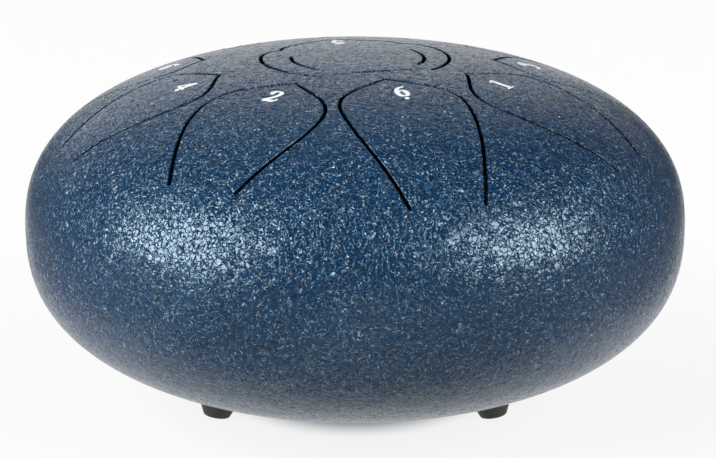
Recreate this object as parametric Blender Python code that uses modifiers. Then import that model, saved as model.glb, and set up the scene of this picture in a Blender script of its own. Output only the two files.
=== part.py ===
"""Steel tongue drum with ten petal tongues round a centre tongue, on three rubber feet.

Units are metres and degrees, +Z is up and the drum stands on z = 0. An azimuth is counted from
the front of the drum, the -Y side, and grows towards +X.
"""

import math
from typing import NamedTuple

import bmesh
import bpy
from mathutils import Matrix, Vector

# Body: two spun shells, welded edge to edge at the equator
DRUM_RADIUS = 0.1525
HALF_HEIGHT = 0.0780
CROWN_EXPONENT = 2.284
RIM_EXPONENT = 2.461
SHEET = 0.0016
SOUND_HOLE_RADIUS = 0.0320
WELD_WIDTH = 0.0009
WELD_HEIGHT = 0.0012
WELD_BEAD_WIDTH = 0.0026
FIT_GAP = 0.0003

# Fineness of the turned shapes
SHELL_STEPS = 64
SHELL_RINGS = 13
BEAD_STEPS = 4
SMALL_STEPS = 24
CUT_OVERRUN = 0.005

# Tongues: the saw kerf that frees them and the curves that their outlines share
KERF = 0.0016
TIP_RISE = 0.29
TIP_SPREAD = 0.36
SHOULDER_RISE = 0.38
WAIST_DROP = 0.30
WAIST_FLARE = 0.42
WAIST_BULGE = 0.0030
TIP_STEPS = 8
WAIST_STEPS = 5


class Tongue(NamedTuple):
    """One petal: distances from the drum's axis, half widths across the petal's own axis."""

    name: str
    azimuth: float
    tip: float
    shoulder: float
    half_width: float
    root: float
    root_half_width: float
    digit: str
    digit_azimuth: float
    dot: int


TONGUES = (
    Tongue("tongue_6_low", 16.2, 0.0458, 0.0770, 0.0282, 0.1360, 0.0164, "6", 18.5, -1),
    Tongue("tongue_1", 61.5, 0.0567, 0.0854, 0.0276, 0.1350, 0.0134, "1", 61.0, 0),
    Tongue("tongue_2", -28.5, 0.0544, 0.0869, 0.0293, 0.1324, 0.0161, "2", -29.5, 0),
    Tongue("tongue_3", 98.5, 0.0648, 0.0892, 0.0229, 0.1345, 0.0119, "3", 99.5, 0),
    Tongue("tongue_4", -69.5, 0.0648, 0.0900, 0.0253, 0.1350, 0.0119, "4", -67.5, 0),
    Tongue("tongue_5", 128.5, 0.0686, 0.0915, 0.0206, 0.1334, 0.0110, "5", 128.5, 0),
    Tongue("tongue_6", -102.5, 0.0717, 0.0930, 0.0221, 0.1334, 0.0110, "6", -103.0, 0),
    Tongue("tongue_7", 160.0, 0.0671, 0.0915, 0.0201, 0.1319, 0.0104, "7", 160.0, 0),
    Tongue("tongue_1_high", -136.0, 0.0679, 0.0915, 0.0201, 0.1312, 0.0101, "1", -136.0, 1),
    Tongue("tongue_2_high", -167.5, 0.0618, 0.0885, 0.0198, 0.1296, 0.0098, "2", -167.5, 1),
)

# Centre tongue: two round side lobes, a pointed back lobe and two short tuning slots
CENTRE_NAME = "centre_tongue"
CENTRE_AZIMUTH = 16.5
LOBE_RADIUS = 0.0432
LOBE_START = 36.5
LOBE_END = 112.0
NOTCH_RADIUS = 0.0370
NOTCH_ANGLE = 129.6
NOTCH_SWEEP = 0.36
BACK_TIP = 0.0445
BACK_SHOULDER = 0.0328
BACK_SIDE = 0.0282
BACK_RISE = 0.0374
BACK_SPREAD = 0.0130
TUNING_SLOT_RADIUS = 0.0303
TUNING_SLOT_SHIFT = 0.0046
TUNING_SLOT_START = 47.0
TUNING_SLOT_END = 110.0
LOBE_STEPS = 12
NOTCH_STEPS = 3
TUNING_SLOT_STEPS = 8

# Numerals: thin stickers, the foot of each digit towards the rim
DIGIT_HEIGHT = 0.0110
DIGIT_THICKNESS = 0.0003
DIGIT_SETBACK = 0.0170
CENTRE_DIGIT_SETBACK = 0.0125
CENTRE_DIGIT_AZIMUTH = -166.0
DOT_RADIUS = 0.0009
DOT_OFFSET = 0.0075
CAP_HEIGHT_SHARE = 0.73

# Feet: three rubber bumpers, square to the curved shell, each held by a screw
FOOT_COUNT = 3
FOOT_CIRCLE = 0.0714
FOOT_FIRST_AZIMUTH = 60.0
FOOT_HEIGHT = 0.0125
FOOT_TOP_RADIUS = 0.0100
FOOT_STRAIGHT = 0.0032
FOOT_BASE_RADIUS = 0.0064
FOOT_ROUNDING = 0.0015
FOOT_CONTACT_DEPTH = 0.0004
RECESS_RADIUS = 0.0031
RECESS_DEPTH = 0.0060
SCREW_RADIUS = 0.0015
SCREW_HEAD_RADIUS = 0.0027
SCREW_HEAD_HEIGHT = 0.0020
SCREW_HEAD_SIDE = 0.0012
SCREW_HEAD_CROWN_RADIUS = 0.0019
SCREW_END = 0.0012
WASHER_RADIUS = 0.0038
WASHER_THICKNESS = 0.0006
NUT_ACROSS_FLATS = 0.0055
NUT_HEIGHT = 0.0024
SCREW_CLEARANCE = 0.0003

# Colours, roughness and metal value of each finish
PAINT = ("crackle_paint", (0.020, 0.075, 0.150), 0.42, 0.0)
WHITE = ("numeral_vinyl", (0.90, 0.91, 0.92), 0.40, 0.0)
RUBBER = ("foot_rubber", (0.020, 0.020, 0.021), 0.65, 0.0)
ZINC = ("zinc_steel", (0.62, 0.62, 0.60), 0.35, 1.0)


def crown_height(radius):
    """Height of the outer skin over the equator plane at a distance from the axis."""
    inside = 1 - (radius / DRUM_RADIUS) ** CROWN_EXPONENT
    return HALF_HEIGHT * max(inside, 0.0) ** (1 / RIM_EXPONENT)


def crown_slope(radius):
    """Fall of the outer skin per metre outwards."""
    step = 0.0001
    return (crown_height(radius - step) - crown_height(radius + step)) / (2 * step)


def crown_tilt(radius):
    """Angle between the outer skin's normal and the drum's axis, in radians."""
    return math.atan(crown_slope(radius))


def profile_points(inner_radius):
    """Outer and inner line of one shell, as pairs of radius and height, from the axis outwards."""
    outer, inner = [], []
    start = math.asin((inner_radius / DRUM_RADIUS) ** (CROWN_EXPONENT / 2))
    for ring in range(SHELL_RINGS + 1):
        turn = start + (math.pi / 2 - start) * ring / SHELL_RINGS
        radius = DRUM_RADIUS * math.sin(turn) ** (2 / CROWN_EXPONENT)
        height = HALF_HEIGHT * max(math.cos(turn), 0.0) ** (2 / RIM_EXPONENT)
        across = CROWN_EXPONENT * (radius / DRUM_RADIUS) ** (CROWN_EXPONENT - 1) / DRUM_RADIUS
        along = RIM_EXPONENT * (height / HALF_HEIGHT) ** (RIM_EXPONENT - 1) / HALF_HEIGHT
        length = math.hypot(across, along)
        outer.append((radius, height))
        inner.append((radius - SHEET * across / length, height - SHEET * along / length))
    return outer, inner


def shell_profile(inner_radius):
    """Closed outline of the upper shell's sheet, cut square beside the equator weld."""
    outer, inner = profile_points(inner_radius)
    edge = WELD_WIDTH / 2 + FIT_GAP
    inner[0] = (outer[0][0], inner[0][1])
    outer[-1] = (DRUM_RADIUS, edge)
    inner[-1] = (DRUM_RADIUS - SHEET, edge)
    return outer + inner[::-1]


def material(finish):
    """The finish's material, made once."""
    name, colour, roughness, metallic = finish
    found = bpy.data.materials.get(name)
    if found:
        return found
    made = bpy.data.materials.new(name)
    made.use_nodes = True
    shader = made.node_tree.nodes["Principled BSDF"]
    shader.inputs["Base Color"].default_value = (*colour, 1.0)
    shader.inputs["Roughness"].default_value = roughness
    shader.inputs["Metallic"].default_value = metallic
    made.diffuse_color = (*colour, 1.0)
    return made


def new_collection(name, hidden=False):
    made = bpy.data.collections.new(name)
    bpy.context.scene.collection.children.link(made)
    made.hide_render = hidden
    return made


def add_object(name, mesh, collection, finish=None):
    """Links a mesh as a named object, as a part with a finish or as a cutter without one."""
    made = bpy.data.objects.new(name, mesh)
    collection.objects.link(made)
    if finish:
        mesh.materials.clear()
        mesh.materials.append(material(finish))
    else:
        made.hide_render = True
        made.display_type = "WIRE"
    return made


def turned(name, profile, steps, collection, finish=None):
    """A profile of radius and height turned about the object's own Z axis."""
    mesh = bpy.data.meshes.new(name)
    count = len(profile)
    on_axis = profile[0][0] == 0 and profile[-1][0] == 0
    edges = [(index, index + 1) for index in range(count - 1)]
    if not on_axis:
        edges.append((count - 1, 0))
    mesh.from_pydata([(radius, 0, height) for radius, height in profile], edges, [])
    made = add_object(name, mesh, collection, finish)
    screw = made.modifiers.new("Turn", "SCREW")
    screw.axis = "Z"
    screw.steps = steps
    screw.render_steps = steps
    screw.use_merge_vertices = True
    screw.merge_threshold = 0.00001
    screw.use_smooth_shade = True
    return made


def as_mesh(source):
    """The evaluated shape of an object as a welded mesh in the world, with the source removed."""
    bpy.context.view_layer.update()
    graph = bpy.context.evaluated_depsgraph_get()
    mesh = bpy.data.meshes.new_from_object(source.evaluated_get(graph))
    mesh.transform(source.matrix_world)
    bpy.data.objects.remove(source)
    welded = bmesh.new()
    welded.from_mesh(mesh)
    bmesh.ops.remove_doubles(welded, verts=welded.verts, dist=0.000001)
    bmesh.ops.recalc_face_normals(welded, faces=welded.faces)
    welded.to_mesh(mesh)
    welded.free()
    return mesh


def prism(name, outline, low, high, collection):
    """A flat outline, extruded from one height to another, as a cutter."""
    curve = bpy.data.curves.new(name, "CURVE")
    curve.dimensions = "2D"
    curve.fill_mode = "BOTH"
    curve.extrude = (high - low) / 2
    spline = curve.splines.new("POLY")
    spline.points.add(len(outline) - 1)
    for point, (x, y) in zip(spline.points, outline):
        point.co = (x, y, 0, 1)
    spline.use_cyclic_u = True
    flat = bpy.data.objects.new(name, curve)
    bpy.context.scene.collection.objects.link(flat)
    flat.location.z = (high + low) / 2
    return add_object(name, as_mesh(flat), collection)


def boolean(target, operation, cutter=None, cutters=None):
    modifier = target.modifiers.new(operation.title(), "BOOLEAN")
    modifier.operation = operation
    modifier.solver = "EXACT"
    if cutters:
        modifier.operand_type = "COLLECTION"
        modifier.collection = cutters
    else:
        modifier.object = cutter


def bezier(start, first, second, end, steps):
    """Points along a cubic curve, without its first one."""
    points = []
    for step in range(1, steps + 1):
        t = step / steps
        weights = ((1 - t) ** 3, 3 * (1 - t) ** 2 * t, 3 * (1 - t) * t**2, t**3)
        corners = (start, first, second, end)
        x = sum(weight * corner[0] for weight, corner in zip(weights, corners))
        y = sum(weight * corner[1] for weight, corner in zip(weights, corners))
        points.append((x, y))
    return points


def petal_side(tongue):
    """Right half of a petal, tip to root, as pairs across and along its axis."""
    rise = tongue.shoulder - tongue.tip
    run = tongue.root - tongue.shoulder
    width, foot = tongue.half_width, tongue.root_half_width
    side = [(0.0, tongue.tip)]
    side += bezier(
        (0.0, tongue.tip),
        (TIP_SPREAD * width, tongue.tip + TIP_RISE * rise),
        (width, tongue.tip + SHOULDER_RISE * rise),
        (width, tongue.shoulder),
        TIP_STEPS,
    )
    side += bezier(
        (width, tongue.shoulder),
        (width, tongue.shoulder + WAIST_DROP * run),
        (foot + WAIST_FLARE * (width - foot) + WAIST_BULGE, tongue.root - WAIST_FLARE * run),
        (foot, tongue.root),
        WAIST_STEPS,
    )
    return side


def centre_side():
    """Right half of the centre tongue, tip to root, across and along the axis of its root."""

    def polar(radius, angle):
        turn = math.radians(angle)
        return radius * math.sin(turn), radius * math.cos(turn)

    notch = polar(NOTCH_RADIUS, NOTCH_ANGLE)
    lobe_end = polar(LOBE_RADIUS, LOBE_END)
    sweep = NOTCH_SWEEP * math.dist(notch, lobe_end)
    turn = math.radians(LOBE_END)
    side = [(0.0, -BACK_TIP)]
    side += bezier(
        (0.0, -BACK_TIP),
        (BACK_SPREAD, -BACK_RISE),
        (BACK_SIDE, -BACK_SHOULDER),
        notch,
        TIP_STEPS,
    )
    side += bezier(
        notch,
        (notch[0] + sweep, notch[1]),
        (lobe_end[0] + sweep * math.cos(turn), lobe_end[1] - sweep * math.sin(turn)),
        lobe_end,
        NOTCH_STEPS,
    )
    for step in range(1, LOBE_STEPS + 1):
        side.append(polar(LOBE_RADIUS, LOBE_END + (LOBE_START - LOBE_END) * step / LOBE_STEPS))
    return side


def grown(side, amount):
    """A right half line moved sideways, away from the tongue where the amount is positive."""
    moved = []
    for index, (x, y) in enumerate(side):
        before = side[index - 1] if index else (-side[1][0], side[1][1])
        after = side[index + 1] if index + 1 < len(side) else (2 * x - before[0], 2 * y - before[1])
        into = Vector((x - before[0], y - before[1])).normalized()
        out = Vector((after[0] - x, after[1] - y)).normalized()
        normal = Vector((into.y + out.y, -into.x - out.x)).normalized()
        reach = amount / max(normal.dot(Vector((into.y, -into.x))), 0.5)
        moved.append((x + normal.x * reach, y + normal.y * reach))
    moved[0] = (0.0, moved[0][1])
    return moved


def outline_of(side, amount, root, azimuth):
    """Closed outline of a tongue or its opening, grown by an amount and cut straight at the root."""
    half = grown(side, amount)
    last, end = half[-2], half[-1]
    half[-1] = (last[0] + (end[0] - last[0]) * (root - last[1]) / (end[1] - last[1]), root)
    local = half + [(-x, y) for x, y in half[:0:-1]]
    turn = math.radians(azimuth)
    return [
        (x * math.cos(turn) + y * math.sin(turn), x * math.sin(turn) - y * math.cos(turn))
        for x, y in local
    ]


def surface_frame(radius, azimuth, equator, upwards=True):
    """Frame on the outer skin: X across, Y towards the drum's axis, Z out of the skin."""
    turn = math.radians(azimuth)
    tilt = crown_tilt(radius)
    height = crown_height(radius)
    outward = Vector((math.sin(turn), -math.cos(turn), 0))
    across = Vector((math.cos(turn), math.sin(turn), 0))
    sign = 1 if upwards else -1
    normal = outward * math.sin(tilt) + Vector((0, 0, sign * math.cos(tilt)))
    inward = normal.cross(across)
    frame = Matrix((across, inward, normal)).transposed().to_4x4()
    frame.translation = outward * radius + Vector((0, 0, equator + sign * height))
    return frame


def foot_profile():
    """Section of a rubber foot, its top at height 0 and its base below."""
    base = -FOOT_HEIGHT
    middle = math.sqrt(0.5) * FOOT_ROUNDING
    bore = SCREW_RADIUS + SCREW_CLEARANCE
    return [
        (bore, -FIT_GAP),
        (FOOT_TOP_RADIUS, -FIT_GAP),
        (FOOT_TOP_RADIUS, -FOOT_STRAIGHT),
        (FOOT_BASE_RADIUS, base + FOOT_ROUNDING),
        (FOOT_BASE_RADIUS - FOOT_ROUNDING + middle, base + FOOT_ROUNDING - middle),
        (FOOT_BASE_RADIUS - FOOT_ROUNDING, base),
        (RECESS_RADIUS, base),
        (RECESS_RADIUS, base + RECESS_DEPTH),
        (bore, base + RECESS_DEPTH),
    ]


def equator_height():
    """Height of the equator when the lowest edge of the feet is pressed flat on z = 0."""
    tilt = crown_tilt(FOOT_CIRCLE)
    below_skin = (
        (FOOT_HEIGHT - FOOT_ROUNDING) * math.cos(tilt)
        + (FOOT_BASE_RADIUS - FOOT_ROUNDING) * math.sin(tilt)
        + FOOT_ROUNDING
    )
    return crown_height(FOOT_CIRCLE) + below_skin - FOOT_CONTACT_DEPTH


def make_shell_solid(name, inner_radius, upper, equator, collection, finish=None):
    """The plain spun sheet, open or closed at the pole, before anything is cut."""
    profile = shell_profile(inner_radius)
    if not upper:
        profile = [(radius, -height) for radius, height in reversed(profile)]
    made = turned(name, profile, SHELL_STEPS, collection, finish)
    made.location.z = equator
    return made


def make_weld(equator, collection):
    """Weld metal between the two edges, flush outside and with a round bead inside."""
    half = WELD_WIDTH / 2
    inside = DRUM_RADIUS - SHEET - FIT_GAP
    profile = [(inside, half), (DRUM_RADIUS, half), (DRUM_RADIUS, -half), (inside, -half)]
    for step in range(BEAD_STEPS + 1):
        turn = math.pi * step / BEAD_STEPS
        bulge = WELD_HEIGHT * math.sin(turn)
        profile.append((inside - bulge, -WELD_BEAD_WIDTH / 2 * math.cos(turn)))
    made = turned("equator_weld", profile, SHELL_STEPS, collection, PAINT)
    made.location.z = equator


def hinge_empty(name, root, azimuth, equator, collection):
    """Empty at the middle of the sheet on a tongue's root line, its X along the line."""
    made = bpy.data.objects.new(name + "_hinge", None)
    made.matrix_world = surface_frame(root, azimuth, equator) @ Matrix.Translation((0, 0, -SHEET / 2))
    collection.objects.link(made)
    return made


def hang(child, parent):
    """Parents an object that already lies in its place."""
    child.parent = parent
    child.matrix_parent_inverse = parent.matrix_world.inverted()


def make_tongue(name, side, root, azimuth, equator, part, cutters, openings):
    """One sprung tongue and the opening that it leaves in the upper shell."""
    low, high = equator, equator + HALF_HEIGHT + CUT_OVERRUN
    opening = outline_of(side, KERF / 2, root, azimuth)
    prism(name + "_opening", opening, low, high, openings)
    inside_kerf = outline_of(side, -KERF / 2, root - FIT_GAP, azimuth)
    blank = prism(name + "_blank", inside_kerf, low, high, cutters)
    made = make_shell_solid(name, 0.0, True, equator, part, PAINT)
    boolean(made, "INTERSECT", cutter=blank)
    hang(made, hinge_empty(name, root, azimuth, equator, part))
    return made


def tuning_slot(name, side_sign, equator, collection):
    """Short curved slot that softens the centre tongue on one side of its root."""
    axis = math.radians(CENTRE_AZIMUTH)
    middle = (TUNING_SLOT_SHIFT * math.sin(axis), -TUNING_SLOT_SHIFT * math.cos(axis))
    outline = []
    for radius, first, last in (
        (TUNING_SLOT_RADIUS + KERF / 2, TUNING_SLOT_START, TUNING_SLOT_END),
        (TUNING_SLOT_RADIUS - KERF / 2, TUNING_SLOT_END, TUNING_SLOT_START),
    ):
        for step in range(TUNING_SLOT_STEPS + 1):
            angle = math.radians(first + (last - first) * step / TUNING_SLOT_STEPS)
            turn = axis + side_sign * angle
            outline.append((middle[0] + radius * math.sin(turn), middle[1] - radius * math.cos(turn)))
    return prism(name, outline, equator, equator + HALF_HEIGHT + CUT_OVERRUN, collection)


def make_digit(name, text, radius, azimuth, equator, collection, parent):
    """A numeral sticker lying on the tongue, its foot towards the rim."""
    font = bpy.data.curves.new(name, "FONT")
    font.body = text
    font.size = DIGIT_HEIGHT / CAP_HEIGHT_SHARE
    font.align_x = "CENTER"
    font.align_y = "CENTER"
    font.extrude = DIGIT_THICKNESS / 2
    font.resolution_u = 3
    flat = bpy.data.objects.new(name, font)
    bpy.context.scene.collection.objects.link(flat)
    lift = FIT_GAP + DIGIT_THICKNESS / 2
    flat.matrix_world = surface_frame(radius, azimuth, equator) @ Matrix.Translation((0, 0, lift))
    hang(add_object(name, as_mesh(flat), collection, WHITE), parent)


def make_dot(name, radius, azimuth, equator, collection, parent):
    """Round octave dot beside a numeral."""
    top = FIT_GAP + DIGIT_THICKNESS
    profile = [(0.0, top), (DOT_RADIUS, top), (DOT_RADIUS, FIT_GAP), (0.0, FIT_GAP)]
    made = turned(name, profile, SMALL_STEPS // 2, collection, WHITE)
    made.matrix_world = surface_frame(radius, azimuth, equator)
    hang(made, parent)


def make_numeral(name, text, dot, radius, azimuth, equator, collection, parent):
    """Digit with its octave dot: -1 towards the rim for a low note, 1 inwards for a high one."""
    make_digit(name, text, radius, azimuth, equator, collection, parent)
    if dot:
        beside = radius - dot * DOT_OFFSET
        make_dot(name + "_dot", beside, azimuth, equator, collection, parent)


def make_ground_trim(cutters):
    """Block under z = 0 that flattens the lowest edge of each foot."""
    mesh = bpy.data.meshes.new("ground_trim")
    cube = bmesh.new()
    size = Matrix.Diagonal((2 * DRUM_RADIUS, 2 * DRUM_RADIUS, FOOT_HEIGHT, 1))
    bmesh.ops.create_cube(cube, size=1.0, matrix=size)
    cube.to_mesh(mesh)
    cube.free()
    trim = add_object("ground_trim", mesh, cutters)
    trim.location.z = -FOOT_HEIGHT / 2
    return trim


def make_foot(number, azimuth, equator, ground, part, holes):
    """A foot with its screw, washer and nut, all on one axis square to the lower shell."""
    frame = surface_frame(FOOT_CIRCLE, azimuth, equator, upwards=False)
    down = frame @ Matrix.Diagonal((1, -1, -1, 1))

    foot = turned(f"foot_{number}", foot_profile(), SMALL_STEPS, part, RUBBER)
    foot.matrix_world = down
    boolean(foot, "DIFFERENCE", cutter=ground)

    bore = SCREW_RADIUS + SCREW_CLEARANCE
    hole_profile = [(0.0, CUT_OVERRUN), (bore, CUT_OVERRUN), (bore, -CUT_OVERRUN), (0.0, -CUT_OVERRUN)]
    hole = turned(f"foot_hole_{number}", hole_profile, SMALL_STEPS, holes)
    hole.matrix_world = down

    washer_seat = SHEET + FIT_GAP
    washer_profile = [
        (bore, washer_seat + WASHER_THICKNESS),
        (WASHER_RADIUS, washer_seat + WASHER_THICKNESS),
        (WASHER_RADIUS, washer_seat),
        (bore, washer_seat),
    ]
    washer = turned(f"foot_washer_{number}", washer_profile, SMALL_STEPS, part, ZINC)
    washer.matrix_world = down

    nut_seat = washer_seat + WASHER_THICKNESS + FIT_GAP
    nut_radius = NUT_ACROSS_FLATS / math.sqrt(3)
    nut_profile = [
        (bore, nut_seat + NUT_HEIGHT),
        (nut_radius, nut_seat + NUT_HEIGHT),
        (nut_radius, nut_seat),
        (bore, nut_seat),
    ]
    nut = turned(f"foot_nut_{number}", nut_profile, 6, part, ZINC)
    nut.matrix_world = down

    head_top = -FOOT_HEIGHT + RECESS_DEPTH - FIT_GAP
    end = nut_seat + NUT_HEIGHT + SCREW_END
    screw_profile = [
        (0.0, end),
        (SCREW_RADIUS, end),
        (SCREW_RADIUS, head_top),
        (SCREW_HEAD_RADIUS, head_top),
        (SCREW_HEAD_RADIUS, head_top - SCREW_HEAD_SIDE),
        (SCREW_HEAD_CROWN_RADIUS, head_top - SCREW_HEAD_HEIGHT),
        (0.0, head_top - SCREW_HEAD_HEIGHT),
    ]
    screw = turned(f"foot_screw_{number}", screw_profile, SMALL_STEPS // 2, part, ZINC)
    screw.matrix_world = down


def main():
    for leftover in list(bpy.data.objects):
        bpy.data.objects.remove(leftover)
    part = new_collection("tongue_drum")
    cutters = new_collection("cutters", hidden=True)
    openings = new_collection("tongue_openings", hidden=True)
    holes = new_collection("foot_holes", hidden=True)
    equator = equator_height()

    for tongue in TONGUES:
        side = petal_side(tongue)
        made = make_tongue(
            tongue.name, side, tongue.root, tongue.azimuth, equator, part, cutters, openings
        )
        name = tongue.name.replace("tongue", "numeral")
        radius = tongue.tip + DIGIT_SETBACK
        azimuth = tongue.digit_azimuth
        make_numeral(name, tongue.digit, tongue.dot, radius, azimuth, equator, part, made.parent)

    root = LOBE_RADIUS * math.cos(math.radians(LOBE_START))
    centre = make_tongue(
        CENTRE_NAME, centre_side(), root, CENTRE_AZIMUTH, equator, part, cutters, openings
    )
    for label, sign in (("right", 1), ("left", -1)):
        boolean(centre, "DIFFERENCE", tuning_slot(f"tuning_slot_{label}", sign, equator, cutters))
    radius = BACK_TIP - CENTRE_DIGIT_SETBACK
    make_numeral(
        "numeral_5_low", "5", -1, radius, CENTRE_DIGIT_AZIMUTH, equator, part, centre.parent
    )

    ground = make_ground_trim(cutters)
    for number in range(FOOT_COUNT):
        azimuth = FOOT_FIRST_AZIMUTH + number * 360 / FOOT_COUNT
        make_foot(number + 1, azimuth, equator, ground, part, holes)

    make_weld(equator, part)
    top = make_shell_solid("top_shell", 0.0, True, equator, part, PAINT)
    boolean(top, "DIFFERENCE", cutters=openings)
    bottom = make_shell_solid("bottom_shell", SOUND_HOLE_RADIUS, False, equator, part, PAINT)
    boolean(bottom, "DIFFERENCE", cutters=holes)


main()
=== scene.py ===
"""Looks of the steel tongue drum: smooth painted skins, rounded slots, numerals, feet and light.

Units are metres and degrees. An azimuth is counted from the front of the drum, the -Y side, and
grows towards +X. A plan point is a pair of X and Y, and its depth is counted under the outer skin.
"""

import math
from typing import NamedTuple

import bpy
import numpy as np
from mathutils import Matrix, Vector
from mathutils.geometry import delaunay_2d_cdt


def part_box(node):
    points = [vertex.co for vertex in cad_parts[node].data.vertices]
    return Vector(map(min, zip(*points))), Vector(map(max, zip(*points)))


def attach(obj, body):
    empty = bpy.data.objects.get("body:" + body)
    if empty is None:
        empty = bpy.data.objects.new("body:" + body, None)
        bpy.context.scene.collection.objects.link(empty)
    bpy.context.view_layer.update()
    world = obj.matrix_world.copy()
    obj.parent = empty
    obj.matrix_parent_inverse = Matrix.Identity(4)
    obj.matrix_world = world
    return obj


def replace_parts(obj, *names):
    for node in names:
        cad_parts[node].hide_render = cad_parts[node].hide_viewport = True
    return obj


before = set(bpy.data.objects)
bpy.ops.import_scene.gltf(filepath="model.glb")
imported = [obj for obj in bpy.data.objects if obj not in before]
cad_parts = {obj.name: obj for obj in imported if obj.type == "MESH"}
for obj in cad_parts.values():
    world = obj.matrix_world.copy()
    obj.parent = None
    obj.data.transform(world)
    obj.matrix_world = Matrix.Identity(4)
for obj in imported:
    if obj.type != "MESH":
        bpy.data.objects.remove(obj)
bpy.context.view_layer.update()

# Body, with the same sizes as the CAD part
DRUM_RADIUS = 0.1525
HALF_HEIGHT = 0.0780
CROWN_EXPONENT = 2.284
RIM_EXPONENT = 2.461
SHEET = 0.0016
SOUND_HOLE_RADIUS = 0.0320
WELD_HEIGHT = 0.0012
WELD_BEAD_WIDTH = 0.0026
EQUATOR = (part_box("equator_weld")[0].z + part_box("equator_weld")[1].z) / 2

# Tongues, with the same sizes as the CAD part
KERF = 0.0016
TIP_RISE = 0.29
TIP_SPREAD = 0.36
SHOULDER_RISE = 0.38
WAIST_DROP = 0.30
WAIST_FLARE = 0.42
WAIST_BULGE = 0.0030


class Tongue(NamedTuple):
    """One petal: distances from the drum's axis, half widths across the petal's own axis."""

    name: str
    azimuth: float
    tip: float
    shoulder: float
    half_width: float
    root: float
    root_half_width: float
    digit: str
    digit_azimuth: float
    dot: int


TONGUES = (
    Tongue("tongue_6_low", 16.2, 0.0458, 0.0770, 0.0282, 0.1360, 0.0164, "6", 18.5, -1),
    Tongue("tongue_1", 61.5, 0.0567, 0.0854, 0.0276, 0.1350, 0.0134, "1", 61.0, 0),
    Tongue("tongue_2", -28.5, 0.0544, 0.0869, 0.0293, 0.1324, 0.0161, "2", -29.5, 0),
    Tongue("tongue_3", 98.5, 0.0648, 0.0892, 0.0229, 0.1345, 0.0119, "3", 99.5, 0),
    Tongue("tongue_4", -69.5, 0.0648, 0.0900, 0.0253, 0.1350, 0.0119, "4", -67.5, 0),
    Tongue("tongue_5", 128.5, 0.0686, 0.0915, 0.0206, 0.1334, 0.0110, "5", 128.5, 0),
    Tongue("tongue_6", -102.5, 0.0717, 0.0930, 0.0221, 0.1334, 0.0110, "6", -103.0, 0),
    Tongue("tongue_7", 160.0, 0.0671, 0.0915, 0.0201, 0.1319, 0.0104, "7", 160.0, 0),
    Tongue("tongue_1_high", -136.0, 0.0679, 0.0915, 0.0201, 0.1312, 0.0101, "1", -136.0, 1),
    Tongue("tongue_2_high", -167.5, 0.0618, 0.0885, 0.0198, 0.1296, 0.0098, "2", -167.5, 1),
)

CENTRE_NAME = "centre_tongue"
CENTRE_AZIMUTH = 16.5
LOBE_RADIUS = 0.0432
LOBE_START = 36.5
LOBE_END = 112.0
NOTCH_RADIUS = 0.0370
NOTCH_ANGLE = 129.6
NOTCH_SWEEP = 0.36
BACK_TIP = 0.0445
BACK_SHOULDER = 0.0328
BACK_SIDE = 0.0282
BACK_RISE = 0.0374
BACK_SPREAD = 0.0130
TUNING_SLOT_RADIUS = 0.0303
TUNING_SLOT_SHIFT = 0.0046
TUNING_SLOT_START = 47.0
TUNING_SLOT_END = 110.0

# Fineness of the skins
TIP_STEPS = 18
WAIST_STEPS = 14
LOBE_STEPS = 26
NOTCH_STEPS = 6
CAP_STEPS = 6
LIP = 0.00045
LIP_STEPS = 3
GRID_SPACING = 0.0040
GRID_RING_SHARE = 0.9
CLEAR_OF_SLOTS = 0.0022
JOIN_RADIUS = 0.1440
RIM_STEPS = 240
RIM_RINGS = 22
BOTTOM_RINGS = 44
BEAD_STEPS = 8
LEAST_MITRE = 0.5
CROWN_WELD = 1e-7
DIGIT_WELD = 1e-6

# Numerals: white stickers with a broad pen's thick and thin strokes
DIGIT_HEIGHT = 0.0110
DIGIT_WIDTH = 0.68
DIGIT_THICKNESS = 0.00022
DIGIT_LIFT = DIGIT_THICKNESS / 10
DIGIT_SETBACK = 0.0170
CENTRE_DIGIT_SETBACK = 0.0125
CENTRE_DIGIT_AZIMUTH = -166.0
PEN_THICK = 0.090
PEN_THIN = 0.032
BALL_RADIUS = 0.092
BALL_STEPS = 20
STROKE_STEPS = 7
DOT_RADIUS = 0.0010
DOT_STEPS = 24
DOT_OFFSET = 0.0077

# Feet, with the same sizes as the CAD part
FOOT_CIRCLE = 0.0714
FOOT_AZIMUTHS = (60, 180, 300)
FOOT_HEIGHT = 0.0125
FOOT_TOP_RADIUS = 0.0100
FOOT_STRAIGHT = 0.0032
FOOT_BASE_RADIUS = 0.0064
FOOT_ROUNDING = 0.0015
FOOT_TOP_ROUNDING = 0.0006
FOOT_SHOULDER_ROUNDING = 0.0010
FOOT_GAP = 0.0001
RECESS_RADIUS = 0.0031
RECESS_DEPTH = 0.0060
SCREW_RADIUS = 0.0015
FOOT_STEPS = 64

# Crackle paint: a scale is in cells per metre, and a width is a share of a cell
CELL_SCALE = 400.0
FACET_SCALE = 1150.0
GENTLE_WARP = (400.0, 0.0014)
STRONG_WARP = (240.0, 0.0060)
BORDER_LEAST = 0.06
BORDER_SPREAD = 0.11
BORDER_DROP = 0.0009
SWELL_SCALE = 270.0
SWELL_HEIGHT = 0.00016
CRACK_WIDTH = 0.03
CRACK_DEPTH = 0.00006
STAIN_WIDTH = 0.07
CELL_TILT = 0.15
FACET_TILT_LEAST = 0.07
FACET_TILT_SPREAD = 2.1
FACET_TILT_POWER = 3.6
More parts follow.
